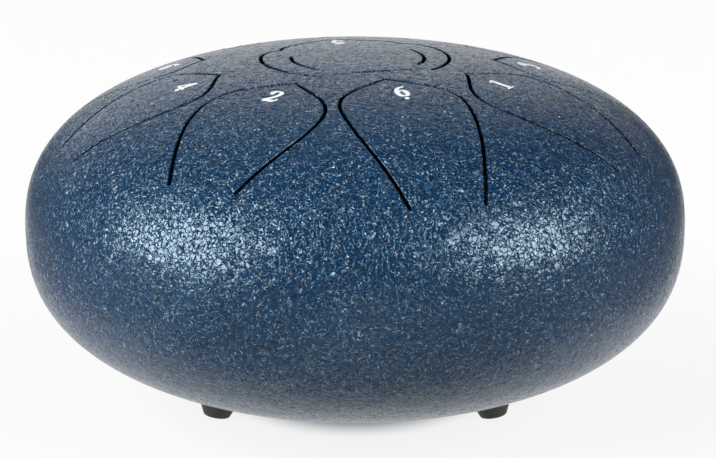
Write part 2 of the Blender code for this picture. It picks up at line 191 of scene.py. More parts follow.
# Silvery dashes, painted glints of the coat's facets: scale, width, and the noise over which they
# are kept
BROAD_GLINT_DASHES = (660.0, 0.042, 0.63)
SMALL_GLINT_DASHES = (980.0, 0.052, 0.645)
SMALL_GLINT_DASHES_SHIFT = (0.3, 0.2, 0.1)
GLINT_DASH_EDGE = 0.02
# Depth at which the painted shade on the slot walls sets in
SLOT_SHADE_FADE = 0.0003
PAINT_ROUGHNESS = 0.20
PAINT_SPECULAR = 1.0
PAINT_SPECULAR_TINT = (0.64, 0.86, 1.0, 1)
PAINT_DEEP = (0.0002, 0.015, 0.048, 1)
PAINT_BLUE = (0.0003, 0.036, 0.104, 1)
# Painted glints: colour of the silvery dashes
PAINT_GLINT_SILVER = (0.25, 0.39, 0.49, 1)
PAINT_CRACK = (0.0007, 0.008, 0.023, 1)
# Painted shade: near black on the slot walls, for the shade inside the slots
SLOT_WALL_SHADE = (0.001, 0.002, 0.004, 1)

# Other materials
VINYL_WEAR_SCALE = 900.0
VINYL_WORN = (0.78, 0.80, 0.82, 1)
VINYL_WHITE = (0.92, 0.93, 0.94, 1)
RUBBER_GRAIN_SCALE = 2500.0
RUBBER_GRAIN_HEIGHT = 0.00004
RUBBER_DUST_SCALE = 300.0
RUBBER_BLACK = (0.014, 0.014, 0.015, 1)
RUBBER_DUSTY = (0.030, 0.030, 0.031, 1)
ZINC_HAZE_SCALE = 600.0
ZINC_DULL = (0.52, 0.52, 0.50, 1)
ZINC_BRIGHT = (0.68, 0.68, 0.66, 1)

# Floor: a white pool, a painted pool of light, that widens to the back; grey beside it and in
# front of it. A pair holds the distances between which the pool or its glow changes.
FLOOR_SIZE = 30
LIGHT_POOL_SIDE = (0.175, 0.27)
LIGHT_POOL_WIDENING = 0.16
LIGHT_POOL_FRONT = (-0.16, -0.085)
LIGHT_POOL_COLOUR = (0.76, 0.76, 0.76, 1)
FLOOR_COLOUR = (0.25, 0.25, 0.25, 1)
GLOW_DEPTH = (-0.05, 0.30)
GLOW_SHARE = (0.86, 0.97)
HOLE_SHADE = (0.036, 0.066)

# World: a bright wall behind the drum, which fades by the direction's X, Y and Z
WALL_SHIFT = 0.12
WALL_ASIDE = (0.12, 0.60)
WALL_ASIDE_LEAST = 0.12
WALL_BEHIND = (0.0, 0.4)
WALL_TOP = (0.31, 0.47)
WALL_TOP_LEAST = 0.08
WALL_STRENGTH = 0.93
ROOM_STRENGTH = 0.03

# Lamps: azimuth, elevation, distance, width, height and watts
LAMPS = {
    "left_box": (-60, 25, 1.32, 0.95, 0.98, 29.5),
    "right_box": (61, 23.5, 1.32, 0.84, 0.82, 18.5),
}

# Camera, fitted to the photo's frame of 716 by 458 pixels
CAMERA_DISTANCE = 1.0718
CAMERA_ELEVATION = 15.7
CAMERA_LENS = 115.4
CAMERA_SHIFT = (0.00411, -0.01545)


def skin_height(radius):
    """Height of the outer skin over the equator plane."""
    inside = np.maximum(1 - (np.asarray(radius) / DRUM_RADIUS) ** CROWN_EXPONENT, 0)
    return HALF_HEIGHT * inside ** (1 / RIM_EXPONENT)


def skin_slope(radius, height):
    """Outward and upward parts of the skin's unit normal."""
    outward = CROWN_EXPONENT * (radius / DRUM_RADIUS) ** (CROWN_EXPONENT - 1) / DRUM_RADIUS
    upward = RIM_EXPONENT * (height / HALF_HEIGHT) ** (RIM_EXPONENT - 1) / HALF_HEIGHT
    length = np.hypot(outward, upward)
    return outward / length, upward / length


def skin_normals(points):
    """Unit normals of the upper skin over plan points."""
    radius = np.maximum(np.hypot(points[:, 0], points[:, 1]), 1e-9)
    outward, upward = skin_slope(radius, skin_height(radius))
    return np.column_stack((points * (outward / radius)[:, None], upward))


def on_skin(points, depth=0.0):
    """Plan points lifted onto the upper skin, or to a depth under it."""
    points = np.asarray(points, float)
    radius = np.hypot(points[:, 0], points[:, 1])
    surface = np.column_stack((points, EQUATOR + skin_height(radius)))
    return surface - skin_normals(points) * np.asarray(depth).reshape(-1, 1)


def turned_plan(local, azimuth):
    """Points across and along an axis of the given azimuth, as plan points."""
    turn = math.radians(azimuth)
    across, along = np.asarray(local, float).T
    x = across * math.cos(turn) + along * math.sin(turn)
    y = across * math.sin(turn) - along * math.cos(turn)
    return np.column_stack((x, y))


def bezier(corners, steps):
    """Points along a cubic curve, without its first one."""
    t = np.arange(1, steps + 1)[:, None] / steps
    weights = np.hstack(((1 - t) ** 3, 3 * (1 - t) ** 2 * t, 3 * (1 - t) * t**2, t**3))
    return (weights @ np.array(corners, float)).tolist()


def petal_side(tongue):
    """Right half of a petal's slot, tip to root."""
    rise = tongue.shoulder - tongue.tip
    run = tongue.root - tongue.shoulder
    width, foot = tongue.half_width, tongue.root_half_width
    tip, shoulder = (0.0, tongue.tip), (width, tongue.shoulder)
    first = (TIP_SPREAD * width, tongue.tip + TIP_RISE * rise)
    second = (width, tongue.tip + SHOULDER_RISE * rise)
    side = [tip] + bezier((tip, first, second, shoulder), TIP_STEPS)
    first = (width, tongue.shoulder + WAIST_DROP * run)
    second = (foot + WAIST_FLARE * (width - foot) + WAIST_BULGE, tongue.root - WAIST_FLARE * run)
    return side + bezier((shoulder, first, second, (foot, tongue.root)), WAIST_STEPS)


def centre_side():
    """Right half of the centre tongue's slot, tip to root."""

    def polar(radius, angle):
        turn = math.radians(angle)
        return radius * math.sin(turn), radius * math.cos(turn)

    notch, lobe_end = polar(NOTCH_RADIUS, NOTCH_ANGLE), polar(LOBE_RADIUS, LOBE_END)
    sweep = NOTCH_SWEEP * math.dist(notch, lobe_end)
    turn = math.radians(LOBE_END)
    tip = (0.0, -BACK_TIP)
    side = [tip]
    side += bezier((tip, (BACK_SPREAD, -BACK_RISE), (BACK_SIDE, -BACK_SHOULDER), notch), TIP_STEPS)
    second = (lobe_end[0] + sweep * math.cos(turn), lobe_end[1] - sweep * math.sin(turn))
    side += bezier((notch, (notch[0] + sweep, notch[1]), second, lobe_end), NOTCH_STEPS)
    for step in range(1, LOBE_STEPS + 1):
        side.append(polar(LOBE_RADIUS, LOBE_END + (LOBE_START - LOBE_END) * step / LOBE_STEPS))
    return side


def tongue_line(side, azimuth):
    """Centre line of a tongue's slot as plan points, from its right root round the tip."""
    left = [(-x, y) for x, y in side[1:]]
    return turned_plan(side[::-1] + left, azimuth)


def tuning_line(side_sign):
    """Centre line of a short tuning slot in the centre tongue, as plan points."""
    angles = np.radians(np.linspace(TUNING_SLOT_START, TUNING_SLOT_END, LOBE_STEPS))
    across = side_sign * TUNING_SLOT_RADIUS * np.sin(angles)
    along = TUNING_SLOT_SHIFT + TUNING_SLOT_RADIUS * np.cos(angles)
    return turned_plan(np.column_stack((across, along)), CENTRE_AZIMUTH)


def unit(vectors):
    return vectors / np.maximum(np.linalg.norm(vectors, axis=-1, keepdims=True), 1e-12)


def unit_circle(steps):
    """Points round a circle of radius 1, counterclockwise from the X axis."""
    turns = 2 * np.pi * np.arange(steps) / steps
    return np.column_stack((np.cos(turns), np.sin(turns)))


def away_from_axis(azimuth, elevation):
    """Unit vector towards an azimuth and an elevation."""
    turn, lift = math.radians(azimuth), math.radians(elevation)
    level = math.cos(lift)
    return Vector((math.sin(turn) * level, -math.cos(turn) * level, math.sin(lift)))


def new_object(name, data):
    made = bpy.data.objects.new(name, data)
    bpy.context.scene.collection.objects.link(made)
    return made


def counterclockwise(points, numbers):
    """The numbers of a face's corners in the order that the triangulation needs."""
    x, y = np.array([points[number] for number in numbers]).T
    area = x @ np.roll(y, -1) - y @ np.roll(x, -1)
    return numbers if area > 0 else numbers[::-1]


def slot_loop(line, spread):
    """Closed loop at a distance from a slot's centre line: left side, end, right side, start."""
    steps = unit(np.diff(line, axis=0))
    into = np.vstack((steps[:1], steps))
    out = np.vstack((steps, steps[-1:]))
    along = unit(into + out)
    stretch = 1 / np.maximum((along * into).sum(axis=1), LEAST_MITRE)
    left = np.column_stack((-along[:, 1], along[:, 0])) * (stretch * spread)[:, None]

    def cap(centre, direction):
        side = np.array((-direction[1], direction[0]))
        turns = np.pi * np.arange(1, CAP_STEPS) / CAP_STEPS
        around = np.outer(np.cos(turns), side) + np.outer(np.sin(turns), direction)
        return centre + spread * around

    end, start = cap(line[-1], along[-1]), cap(line[0], -along[0])
    return np.vstack((line + left, end, (line - left)[::-1], start))


def lip_profile():
    """Steps over a slot's edge: distance from its centre line, depth, and turn of the normal."""
    steps = []
    for step in range(LIP_STEPS + 1):
        turn = math.pi / 2 * step / LIP_STEPS
        steps.append((KERF / 2 + LIP - LIP * math.sin(turn), LIP - LIP * math.cos(turn), turn))
    return steps + [(spread, SHEET - depth, math.pi - turn) for spread, depth, turn in steps[::-1]]


class Builder:
    """Collects the points, normals and faces of one mesh."""

    def __init__(self):
        self.points, self.normals, self.depths, self.faces = [], [], [], []

    def add(self, points, normals, depth=0.0):
        """Adds points with their normals and their depth in the sheet; returns their numbers."""
        first = len(self.points)
        self.points.extend(np.asarray(points).tolist())
        self.normals.extend(np.asarray(normals).tolist())
        self.depths.extend([depth] * len(points))
        return list(range(first, len(self.points)))

    def face(self, *corners):
        """Adds a face that looks the way its corners' normals do."""
        places = np.array([self.points[corner] for corner in corners])
        normal = np.cross(places[1] - places[0], places[2] - places[0])
        outward = np.sum([self.normals[corner] for corner in corners], axis=0)
        self.faces.append(corners if normal @ outward >= 0 else corners[::-1])

    def ring(self, circle, row):
        """Adds a level ring: a row has its radius, height and normal, outward and upward."""
        radius, height, outward, upward = row
        places = np.column_stack((circle * radius, np.full(len(circle), height)))
        normals = np.column_stack((circle * outward, np.full(len(circle), upward)))
        return self.add(places, normals)

    def band(self, first, second, closed=True):
        """Faces between two rows of as many points."""
        count = len(first)
        for index in range(count if closed else count - 1):
            after = (index + 1) % count
            self.face(first[index], first[after], second[after], second[index])

    def finish(self, name, material):
        """The mesh as an object whose shading follows the given normals."""
        mesh = bpy.data.meshes.new(name)
        mesh.from_pydata(self.points, [], self.faces)
        mesh.validate()
        mesh.shade_smooth()
        mesh.normals_split_custom_set_from_vertices(self.normals)
        mesh.attributes.new("depth", "FLOAT", "POINT").data.foreach_set("value", self.depths)
        mesh.materials.append(material)
        return new_object(name, mesh)


def lathe(name, profile, steps, material):
    """Turned shape from the rows of its profile."""
    builder = Builder()
    circle = unit_circle(steps)
    rows = [builder.ring(circle, row) for row in profile]
    for first, second in zip(rows, rows[1:]):
        builder.band(first, second)
    return builder.finish(name, material)


def arc(centre, radius, start, end, steps):
    """Rows of a lathe profile round a corner, from one angle to another, outward being zero."""
    rows = []
    for step in range(steps + 1):
        turn = math.radians(start + (end - start) * step / steps)
        across, up = math.cos(turn), math.sin(turn)
        rows.append((centre[0] + radius * across, centre[1] + radius * up, across, up))
    return rows


def grid_points(lines):
    """Plan points in rings over the crown, clear of the slots and of the joining circle."""
    points = [(0.0, 0.0)]
    ring = GRID_SPACING
    while ring < JOIN_RADIUS - GRID_SPACING / 2:
        count = max(6, round(2 * math.pi * ring / GRID_SPACING))
        turns = 2 * np.pi * (np.arange(count) + (round(ring / GRID_SPACING) % 2) / 2) / count
        points.extend(np.column_stack((ring * np.cos(turns), ring * np.sin(turns))).tolist())
        ring += GRID_SPACING * GRID_RING_SHARE
    points = np.array(points)
    fine = []
    for line in lines:
        fine.append(line)
        fine.append((line[1:] + line[:-1]) / 2)
    fine = np.vstack(fine)
    nearest = np.array([np.hypot(*(fine - point).T).min() for point in points])
    return points[nearest > CLEAR_OF_SLOTS]


def crown_layout(tongue_lines, tuning_lines):
    """Flat layout of the crown: plan points, triangles by owner and each slot's numbers."""
    points, edges, faces, owners, loops = [], [], [], [], []
    spread = KERF / 2 + LIP

    def add_loop(loop, owner):
        first = len(points)
        points.extend(loop.tolist())
        numbers = list(range(first, len(points)))
        edges.extend(zip(numbers, numbers[1:] + numbers[:1]))
        faces.append(counterclockwise(points, numbers))
        owners.append(owner)
        return numbers

    for line in list(tongue_lines.values()) + tuning_lines:
        loops.append(add_loop(slot_loop(line, spread), "slot"))
    for (name, line), loop in zip(tongue_lines.items(), loops):
        side = loop[: len(line)]
        edges.append((side[0], side[-1]))
        faces.append(counterclockwise(points, side))
        owners.append(name)
    rim = add_loop(JOIN_RADIUS * unit_circle(RIM_STEPS), "shell")
    points.extend(grid_points(list(tongue_lines.values()) + tuning_lines).tolist())

    flat = [Vector(point) for point in points]
    made = delaunay_2d_cdt(flat, edges, faces, 1, CROWN_WELD)
    number_of = {old: new for new, olds in enumerate(made[3]) for old in olds}
    triangles = {"shell": []}
    for triangle, inside in zip(made[2], made[5]):
        names = {owners[face] for face in inside}
        if "slot" in names:
            continue
        owner = next((name for name in names if name != "shell"), "shell")
        triangles.setdefault(owner, []).append(triangle)
    plan = np.array([tuple(point) for point in made[0]])
    loops = [[number_of[old] for old in loop] for loop in loops]
    return plan, triangles, loops, [number_of[old] for old in rim]


def add_sheet(builder, plan, triangles):
    """Both faces of the sheet over some triangles; the numbers of its points by plan number."""
    used = sorted({corner for triangle in triangles for corner in triangle})
    points = plan[used]
    normals = skin_normals(points)
    outer = dict(zip(used, builder.add(on_skin(points), normals)))
    inner = dict(zip(used, builder.add(on_skin(points, SHEET), -normals, SHEET)))
    for triangle in triangles:
        builder.face(*[outer[corner] for corner in triangle])
        builder.face(*[inner[corner] for corner in triangle])
    return outer, inner


def add_lip(builder, line, loop, owned, outer, inner):
    """Rounded edges and wall of a slot along the stretch of its loop that a piece owns."""
    profile = lip_profile()
    rows = []
    edge_plan, wall_plan = slot_loop(line, profile[0][0]), slot_loop(line, KERF / 2)
    normals = skin_normals(edge_plan)
    inwards = on_skin(wall_plan) - on_skin(edge_plan)
    inwards = unit(inwards - normals * (inwards * normals).sum(axis=1)[:, None])
    for spread, depth, turn in profile[1:-1]:
        plan = slot_loop(line, spread)[owned]
        facing = normals[owned] * math.cos(turn) + inwards[owned] * math.sin(turn)
        rows.append(builder.add(on_skin(plan, depth), facing, depth))
    rows.insert(0, [outer[loop[index]] for index in owned])
    rows.append([inner[loop[index]] for index in owned])
    for first, second in zip(rows, rows[1:]):
        builder.band(first, second, closed=len(owned) == len(loop))


def make_crown(material):
    """Top shell and tongues, cut from one sheet so that the paint runs on over each root."""
    lines = {tongue.name: tongue_line(petal_side(tongue), tongue.azimuth) for tongue in TONGUES}
    lines[CENTRE_NAME] = tongue_line(centre_side(), CENTRE_AZIMUTH)
    tuning = [tuning_line(1), tuning_line(-1)]
    plan, triangles, loops, rim = crown_layout(lines, tuning)

    shell = Builder()
    outer, inner = add_sheet(shell, plan, triangles["shell"])
    for (name, line), loop in zip(lines.items(), loops):
        owned = list(range(len(line) - 1, len(loop))) + [0]
        add_lip(shell, line, loop, owned, outer, inner)
    add_rim(shell, [outer[number] for number in rim], [inner[number] for number in rim])
    skin = shell.finish("top_shell_skin", material)
    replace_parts(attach(skin, "drum"), "top_shell")

    for (name, line), loop in zip(lines.items(), loops):
        tongue = Builder()
        outer, inner = add_sheet(tongue, plan, triangles[name])
        add_lip(tongue, line, loop, list(range(len(line))), outer, inner)
        if name == CENTRE_NAME:
            for extra_line, extra_loop in zip(tuning, loops[len(lines):]):
                add_lip(tongue, extra_line, extra_loop, list(range(len(extra_loop))), outer, inner)
        skin = tongue.finish(name + "_skin", material)
        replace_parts(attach(skin, name), name)


def rim_profile(start, rings, sign):
    """Outer and inner rows of a lathe profile, from a radius out to the equator."""
    first = math.asin((start / DRUM_RADIUS) ** (CROWN_EXPONENT / 2))
    outer, inner = [], []
    for turn in np.linspace(first, math.pi / 2, rings + 1):
        radius = DRUM_RADIUS * math.sin(turn) ** (2 / CROWN_EXPONENT)
        height = HALF_HEIGHT * max(math.cos(turn), 0.0) ** (2 / RIM_EXPONENT)
        outward, upward = skin_slope(radius, height)
        outer.append((radius, EQUATOR + sign * height, outward, sign * upward))
        radius, height = radius - SHEET * outward, height - SHEET * upward
        inner.append((radius, EQUATOR + sign * max(height, 0.0), -outward, -sign * upward))
    return outer, inner


def add_rim(builder, outer_row, inner_row):
    """Carries the top shell's sheet from the joining circle down to the equator."""
    circle = unit_circle(RIM_STEPS)
    for before, profile in zip((outer_row, inner_row), rim_profile(JOIN_RADIUS, RIM_RINGS, 1)):
        for row in profile[1:]:
            after = builder.ring(circle, row)
            builder.band(before, after)
            before = after


def make_bottom(material):
    """Bottom shell with the rounded edge of its sound hole."""
    outer, inner = rim_profile(SOUND_HOLE_RADIUS + LIP, BOTTOM_RINGS, -1)
    middle = inner[0][1] - SHEET / 2
    edge = [(SOUND_HOLE_RADIUS, middle + rise, -1, 0) for rise in (-LIP, LIP)]
    profile = outer[::-1] + edge + inner
    skin = lathe("bottom_shell_skin", profile, RIM_STEPS, material)
    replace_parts(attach(skin, "drum"), "bottom_shell")


def make_weld(material):
    """Weld bead inside the drum; outside it is ground flush and painted over."""
    inside = DRUM_RADIUS - SHEET
    rows = []
    for turn in np.radians(np.linspace(-90, 90, BEAD_STEPS + 1)):
        across, up = WELD_HEIGHT * math.cos(turn), WELD_BEAD_WIDTH / 2 * math.sin(turn)
        rows.append((inside - across, EQUATOR + up, -math.cos(turn), math.sin(turn)))
    bead = lathe("weld_bead", rows, RIM_STEPS, material)
    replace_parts(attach(bead, "drum"), "equator_weld")


# Digits as pen strokes in a box of height 1: points of the centre line, and the pen's share
STROKES = {
    "1": (
        (((0.36, 0.04), (0.36, 0.50), (0.36, 0.96)), 1.0),
        (((0.38, 0.955), (0.26, 0.89), (0.13, 0.855)), 0.85),
        (((0.12, 0.035), (0.36, 0.035), (0.60, 0.035)), 1.0),
    ),
    "2": (
        (((0.12, 0.73), (0.18, 0.89), (0.33, 0.965), (0.49, 0.88), (0.53, 0.70)), 1.0),
        (((0.53, 0.70), (0.46, 0.50), (0.28, 0.28), (0.09, 0.09)), 0.85),
        (((0.06, 0.085), (0.30, 0.085), (0.57, 0.085)), 2.2),
        (((0.57, 0.08), (0.62, 0.16), (0.65, 0.26)), 0.45),
    ),
    "3": (
        (
            ((0.12, 0.78), (0.20, 0.92), (0.34, 0.965), (0.48, 0.88), (0.49, 0.72), (0.40, 0.60)),
            1.0,
        ),
        (((0.40, 0.60), (0.34, 0.56), (0.26, 0.545)), 1.0),
        (((0.28, 0.555), (0.44, 0.52), (0.53, 0.40), (0.53, 0.24), (0.43, 0.09)), 1.0),
        (((0.43, 0.09), (0.28, 0.035), (0.13, 0.10)), 1.0),
    ),
    "4": (
        (((0.46, 0.95), (0.26, 0.62), (0.06, 0.30)), 0.40),
        (((0.05, 0.29), (0.35, 0.29), (0.66, 0.29)), 1.5),
        (((0.46, 0.0), (0.46, 0.50), (0.46, 0.97)), 0.95),
    ),
    "5": (
        (((0.20, 0.90), (0.40, 0.90), (0.58, 0.93)), 2.2),
        (((0.20, 0.93), (0.16, 0.76), (0.13, 0.58)), 0.35),
        (((0.13, 0.58), (0.34, 0.59), (0.50, 0.48), (0.52, 0.28), (0.42, 0.10)), 1.0),
        (((0.42, 0.10), (0.28, 0.035), (0.13, 0.10)), 1.0),
    ),
    "6": (
        (((0.58, 0.965), (0.38, 0.88), (0.22, 0.70), (0.14, 0.45), (0.16, 0.18)), 0.95),
        (((0.16, 0.18), (0.24, 0.06), (0.36, 0.035), (0.48, 0.10), (0.53, 0.30)), 1.0),
        (((0.53, 0.30), (0.50, 0.48), (0.40, 0.575), (0.27, 0.55), (0.18, 0.47)), 1.0),
    ),
    "7": (
        (((0.10, 0.90), (0.34, 0.90), (0.60, 0.90)), 2.2),
        (((0.10, 0.92), (0.07, 0.82), (0.06, 0.70)), 0.45),
        (((0.58, 0.90), (0.46, 0.60), (0.36, 0.30), (0.31, 0.0)), 0.95),
    ),
}
BALLS = {"2": ((0.15, 0.74),), "3": ((0.15, 0.77), (0.15, 0.12)), "5": ((0.15, 0.12),)}


def smooth_line(corners, steps):
    """Points on a curve through the corners."""
    corners = np.array(corners, float)
    padded = np.vstack((2 * corners[0] - corners[1], corners, 2 * corners[-1] - corners[-2]))
    points = []
    for index in range(len(corners) - 1):
        before, start, end, after = padded[index : index + 4]
        for step in range(steps):
            t = step / steps
            curve = 2 * start + (end - before) * t
            curve = curve + (2 * before - 5 * start + 4 * end - after) * t**2
            points.append((curve + (3 * start - before - 3 * end + after) * t**3) / 2)
    return np.array(points + [corners[-1]])


def stroke_faces(corners, share):
    """Quads along a pen stroke, thick where it runs up and down and thin across."""
    line = smooth_line(corners, STROKE_STEPS)
    along = unit(np.gradient(line, axis=0))
    half = share * np.hypot(PEN_THICK * along[:, 1], PEN_THIN * along[:, 0])
    side = np.column_stack((-along[:, 1], along[:, 0])) * half[:, None]
    left, right = line + side, line - side
    return [(left[i], left[i + 1], right[i + 1], right[i]) for i in range(len(line) - 1)]


def digit_faces(text):
    """All the flat pieces of a digit, which overlap where strokes meet."""
    faces = [quad for corners, share in STROKES[text] for quad in stroke_faces(corners, share)]
    for ball in BALLS.get(text, ()):
        faces.append(np.array(ball) + BALL_RADIUS * unit_circle(BALL_STEPS))
    return [(np.array(face) - (DIGIT_WIDTH / 2, 0.5)) * DIGIT_HEIGHT for face in faces]


def raised(name, flat_faces, radius, azimuth, material):
    """Flat pieces, joined into one outline and raised from the skin round a point."""
    points, faces = [], []
    for face in flat_faces:
        numbers = list(range(len(points), len(points) + len(face)))
        points.extend(face.tolist())
        faces.append(counterclockwise(points, numbers))
    made = delaunay_2d_cdt([Vector(point) for point in points], [], faces, 1, DIGIT_WELD)
    triangles = [triangle for triangle, inside in zip(made[2], made[5]) if inside]
    flat = np.array([tuple(point) for point in made[0]])
    tilt = skin_slope(radius, float(skin_height(radius)))[1]
    plan = turned_plan(np.column_stack((flat[:, 0], radius - flat[:, 1] * tilt)), azimuth)
    normals = skin_normals(plan)
    builder = Builder()
    top = builder.add(on_skin(plan, -DIGIT_THICKNESS), normals)
    bottom = builder.add(on_skin(plan, -DIGIT_LIFT), -normals)
    count = {}
    for triangle in triangles:
        builder.face(*[top[corner] for corner in triangle])
        builder.face(*[bottom[corner] for corner in triangle])
        for first, second in zip(triangle, triangle[1:] + triangle[:1]):
            count.setdefault(frozenset((first, second)), []).append((first, second))
    for found in count.values():
        if len(found) == 1:
            add_side(builder, plan, normals, *found[0])
    return builder.finish(name, material)


def add_side(builder, plan, normals, first, second):
    """Upright side of a raised piece along one edge of its outline."""
    ends = [first, second]
    run = unit(plan[second] - plan[first])
    outwards = np.array((run[1], -run[0], 0.0))
    if np.cross(np.append(run, 0), normals[first]) @ outwards < 0:
        outwards = -outwards
    upper = builder.add(on_skin(plan[ends], -DIGIT_THICKNESS), [outwards] * 2)
    lower = builder.add(on_skin(plan[ends], -DIGIT_LIFT), [outwards] * 2)
    builder.face(upper[0], upper[1], lower[1], lower[0])


def make_numeral(node, text, radius, azimuth, body, dot, material):
    """Digit on its tongue, with its octave dot towards the rim or towards the axis."""
    digit = raised(node + "_print", digit_faces(text), radius, azimuth, material)
    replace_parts(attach(digit, body), node)
    if not dot:
        return
    disc = DOT_RADIUS * unit_circle(DOT_STEPS)
    spot = raised(node + "_dot_print", [disc], radius - dot * DOT_OFFSET, azimuth, material)
    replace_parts(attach(spot, body), node + "_dot")


def make_numerals(material):
    """A digit on every tongue."""
    for tongue in TONGUES:
        node = tongue.name.replace("tongue", "numeral")
        radius, azimuth = tongue.tip + DIGIT_SETBACK, tongue.digit_azimuth
        make_numeral(node, tongue.digit, radius, azimuth, tongue.name, tongue.dot, material)
    radius = BACK_TIP - CENTRE_DIGIT_SETBACK
    make_numeral("numeral_5_low", "5", radius, CENTRE_DIGIT_AZIMUTH, CENTRE_NAME, -1, material)


def foot_frame(azimuth):
    """Frame on the lower skin at a foot's centre, Z up into the drum along the foot's axis."""
    height = float(skin_height(FOOT_CIRCLE))
    outward, upward = skin_slope(FOOT_CIRCLE, height)
    turn = math.radians(azimuth)
    away = Vector((math.sin(turn), -math.cos(turn), 0))
    across = Vector((math.cos(turn), math.sin(turn), 0))
    into = -away * outward + Vector((0, 0, upward))
    made = Matrix((across, into.cross(across), into)).transposed().to_4x4()
    made.translation = away * FOOT_CIRCLE + Vector((0, 0, EQUATOR - height))
    return made


def make_feet(material):
    """Moulded rubber feet, each pressed flat where its edge rests on the ground."""
    base = -FOOT_HEIGHT
    cone_height = FOOT_HEIGHT - FOOT_STRAIGHT - FOOT_ROUNDING
    lean = -math.degrees(math.atan2(FOOT_TOP_RADIUS - FOOT_BASE_RADIUS, cone_height))
    top_centre = (FOOT_TOP_RADIUS - FOOT_TOP_ROUNDING, -FOOT_GAP - FOOT_TOP_ROUNDING)
    shoulder_centre = (FOOT_TOP_RADIUS - FOOT_SHOULDER_ROUNDING, -FOOT_STRAIGHT)
    base_centre = (FOOT_BASE_RADIUS - FOOT_ROUNDING, base + FOOT_ROUNDING)
    ceiling = base + RECESS_DEPTH
    profile = [(SCREW_RADIUS, -FOOT_GAP, 0, 1)]
    profile += arc(top_centre, FOOT_TOP_ROUNDING, 90, 0, 4)
    profile += arc(shoulder_centre, FOOT_SHOULDER_ROUNDING, 0, lean, 3)
    profile += arc(base_centre, FOOT_ROUNDING, lean, -90, 8)
    profile += arc((RECESS_RADIUS + LIP, base + LIP), LIP, 270, 180, 3)
    profile += [(RECESS_RADIUS, ceiling, -1, 0), (RECESS_RADIUS, ceiling, 0, -1)]
    profile += [(SCREW_RADIUS, ceiling, 0, -1)]
    for number, azimuth in enumerate(FOOT_AZIMUTHS, 1):
        foot = lathe(f"foot_{number}_rubber", profile, FOOT_STEPS, material)
        foot.data.transform(foot_frame(azimuth))
        for vertex in foot.data.vertices:
            vertex.co.z = max(vertex.co.z, 0.0)
        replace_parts(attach(foot, "drum"), f"foot_{number}")


def new_material(name, roughness, metallic=0.0):
    """A material with its node tree, and its Principled shader."""
    made = bpy.data.materials.new(name)
    made.use_nodes = True
    shader = made.node_tree.nodes["Principled BSDF"]
    shader.inputs["Roughness"].default_value = roughness
    shader.inputs["Metallic"].default_value = metallic
    return made, shader


class Nodes:
    """Short ways to add nodes to a material's tree."""

    def __init__(self, material):
        self.tree = material.node_tree

    def put(self, value, socket):
        if hasattr(value, "is_output"):
            self.tree.links.new(value, socket)
        else:
            socket.default_value = value

    def add(self, kind, inputs, output=0, **settings):
        """A node with its settings and inputs set; returns one of its outputs."""
        node = self.tree.nodes.new(kind)
        for name, value in settings.items():
            setattr(node, name, value)
        for key, value in inputs.items():
            self.put(value, node.inputs[key])
        return node.outputs[output]

    def math(self, operation, first, second=0.0, third=0.0):
        return self.add("ShaderNodeMath", {0: first, 1: second, 2: third}, operation=operation)

    def vector(self, operation, first, second=(0, 0, 0), output=0):
        inputs = {0: first, 1: second}
        return self.add("ShaderNodeVectorMath", inputs, output, operation=operation)

    def scaled(self, vector, factor):
        inputs = {0: vector, "Scale": factor}
        return self.add("ShaderNodeVectorMath", inputs, operation="SCALE")

    def ramp(self, value, low, high, to_low=0.0, to_high=1.0):
        inputs = {0: value, 1: low, 2: high, 3: to_low, 4: to_high}
        return self.add("ShaderNodeMapRange", inputs, interpolation_type="SMOOTHSTEP")

    def mix(self, factor, first, second):
        """Colour between two, by a factor; the node's sockets for colours start at 6."""
        inputs = {0: factor, 6: first, 7: second}
        return self.add("ShaderNodeMix", inputs, 2, data_type="RGBA")

    def noise(self, place, scale, detail, output=0):
        inputs = {"Vector": place, "Scale": scale, "Detail": detail}
        return self.add("ShaderNodeTexNoise", inputs, output)

    def parts(self, place):
        """The X, Y and Z of a place."""
        node = self.tree.nodes.new("ShaderNodeSeparateXYZ")
        self.put(place, node.inputs[0])
        return node.outputs

    def bump(self, height, shader):
        """Tilts a shader's normals by a height in metres."""
        inputs = {"Height": height, "Distance": 1.0, "Strength": 1.0}
        self.put(self.add("ShaderNodeBump", inputs, "Normal"), shader.inputs["Normal"])


def warped(nodes, place, scale, reach):
    """The place pushed about by a noise of a scale, by up to about a quarter of a reach."""
    drift = nodes.noise(place, scale, 1.0, "Color")
    drift = nodes.scaled(nodes.vector("SUBTRACT", drift, (0.5, 0.5, 0.5)), reach)
    return nodes.vector("ADD", place, drift)


def tilted_cells(nodes, place, scale):
    """Random cells of a size: the tilt of each cell's flat top and its random colour's channels."""
    cell = nodes.tree.nodes.new("ShaderNodeTexVoronoi")
    nodes.put(place, cell.inputs["Vector"])
    nodes.put(scale, cell.inputs["Scale"])
    turn = nodes.vector("SUBTRACT", cell.outputs["Color"], (0.5, 0.5, 0.5))
    from_middle = nodes.vector("SUBTRACT", place, cell.outputs["Position"])
    tilt = nodes.vector("DOT_PRODUCT", turn, from_middle, output="Value")
    tone = nodes.tree.nodes.new("ShaderNodeSeparateColor")
    nodes.put(cell.outputs["Color"], tone.inputs[0])
    return tilt, tone.outputs


def cell_edges(nodes, place, scale):
    """Distance to the nearest edge of the cells, one being the size of a cell."""
    inputs = {"Vector": place, "Scale": scale}
    return nodes.add("ShaderNodeTexVoronoi", inputs, "Distance", feature="DISTANCE_TO_EDGE")


def glint_dashes(nodes, place, scale, width, threshold):
    """Thin lines of a random network, kept where a noise is over a threshold: painted glints."""
    breaks = nodes.noise(place, scale * 0.8, 1.0)
    lines = nodes.ramp(cell_edges(nodes, place, scale), width * 0.6, width * 1.4, 1.0, 0.0)
    kept = nodes.ramp(breaks, threshold - GLINT_DASH_EDGE, threshold + GLINT_DASH_EDGE)
    return nodes.math("MULTIPLY", lines, kept)


